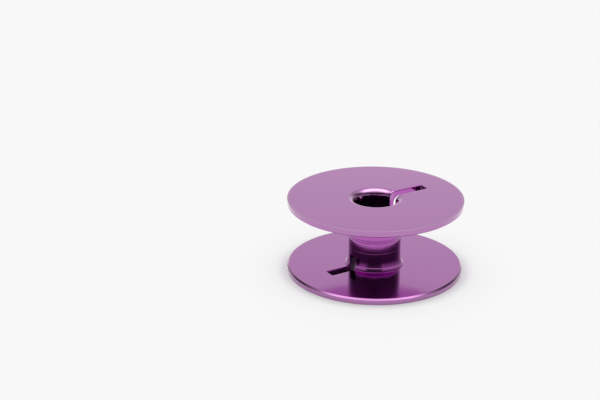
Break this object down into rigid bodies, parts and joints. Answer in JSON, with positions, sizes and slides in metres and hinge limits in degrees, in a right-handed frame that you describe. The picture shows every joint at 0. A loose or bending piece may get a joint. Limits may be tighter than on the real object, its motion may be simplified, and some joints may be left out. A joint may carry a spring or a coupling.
{
  "type": "sewing machine bobbin",
  "caption": "Turned aluminium thread bobbin: a short hollow hub between two thin round flanges, each with one radial slot for the thread's tail.",
  "frame": {"origin": "middle of the lower flange's outer face, on the bore's axis", "axes": "+Z along the bore, from the lower flange to the upper one; the upper flange's slot points 34 degrees from +X towards +Y, the lower one's the opposite way"},
  "size_m": [0.0254, 0.0254, 0.011],
  "materials": {
    "anodised_aluminium": "purple anodised over a bright turned surface"
  },
  "bodies": {
    "root": {"bobbin": "anodised_aluminium"}
  },
  "joints": []
}
